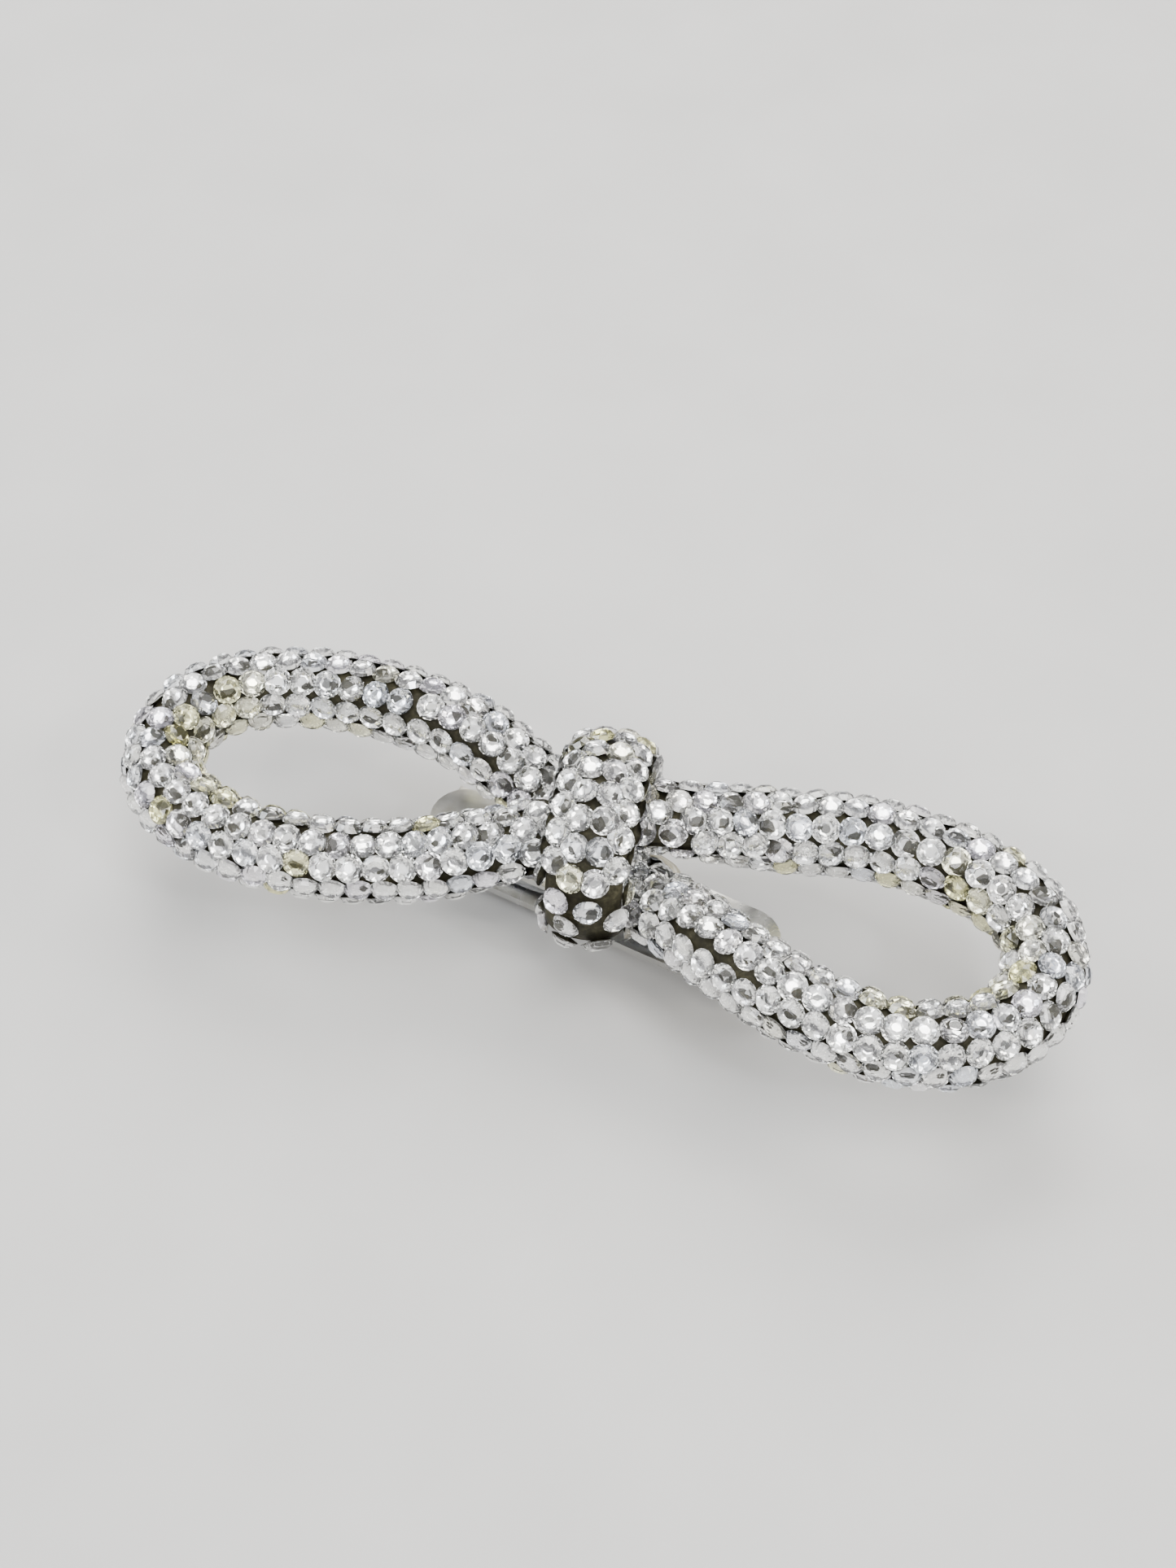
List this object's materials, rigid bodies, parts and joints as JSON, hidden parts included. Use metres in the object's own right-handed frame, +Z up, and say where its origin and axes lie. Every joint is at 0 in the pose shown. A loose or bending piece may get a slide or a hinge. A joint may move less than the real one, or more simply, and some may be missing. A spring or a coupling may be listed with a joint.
{
  "type": "rhinestone hair clip",
  "caption": "Figure-eight bow of round stone-set rope tied by a wrapped knot, fixed on a slim hinged spring barrette that clamps a lock of hair.",
  "frame": {"origin": "middle of the clip's footprint, on the surface that it rests on, with the bow facing up", "axes": "+X along the bow's length, +Y towards the far side of the bow, +Z up out of the bow's face"},
  "size_m": [0.0854, 0.0298, 0.0212],
  "materials": {
    "crystal": "faceted, foil-backed, brilliant",
    "rope_base": "dull olive-grey setting",
    "nickel": "nickel-plated steel, slightly brushed",
    "spring_steel": "plain spring steel"
  },
  "bodies": {
    "bow_and_plate": {"left_loop_rope": "crystal", "right_loop_rope": "crystal", "knot_band": "crystal", "left_loop_core": "rope_base", "right_loop_core": "rope_base", "mounting_pad": "nickel", "back_plate": "nickel", "left_pad_rivet": "nickel", "right_pad_rivet": "nickel", "hinge_pin": "nickel", "catch_bracket": "nickel", "catch_rivet": "nickel"},
    "clasp_arm": {"clasp_arm": "nickel", "tension_bow": "spring_steel", "bow_rivet": "nickel"},
    "near_release_prong": {"near_release_prong": "spring_steel"},
    "far_release_prong": {"far_release_prong": "spring_steel"}
  },
  "joints": [
    {"name": "clasp_arm_hinge", "type": "hinge", "parent": "bow_and_plate", "child": "clasp_arm", "pos_m": [-0.01393, 0.00561, 0.0015], "axis": [0.2079, 0.9781, 0], "range_deg": [0, 95]},
    {"name": "near_prong_squeeze", "type": "hinge", "parent": "bow_and_plate", "child": "near_release_prong", "pos_m": [0.01321, -0.00139, 0.0039], "axis": [0.9781, -0.2079, 0], "range_deg": [0, 8], "stiffness_Nm_per_rad": 0.05},
    {"name": "far_prong_squeeze", "type": "hinge", "parent": "bow_and_plate", "child": "far_release_prong", "pos_m": [0.01371, 0.00096, 0.0039], "axis": [-0.9781, 0.2079, 0], "range_deg": [0, 8], "stiffness_Nm_per_rad": 0.05}
  ]
}
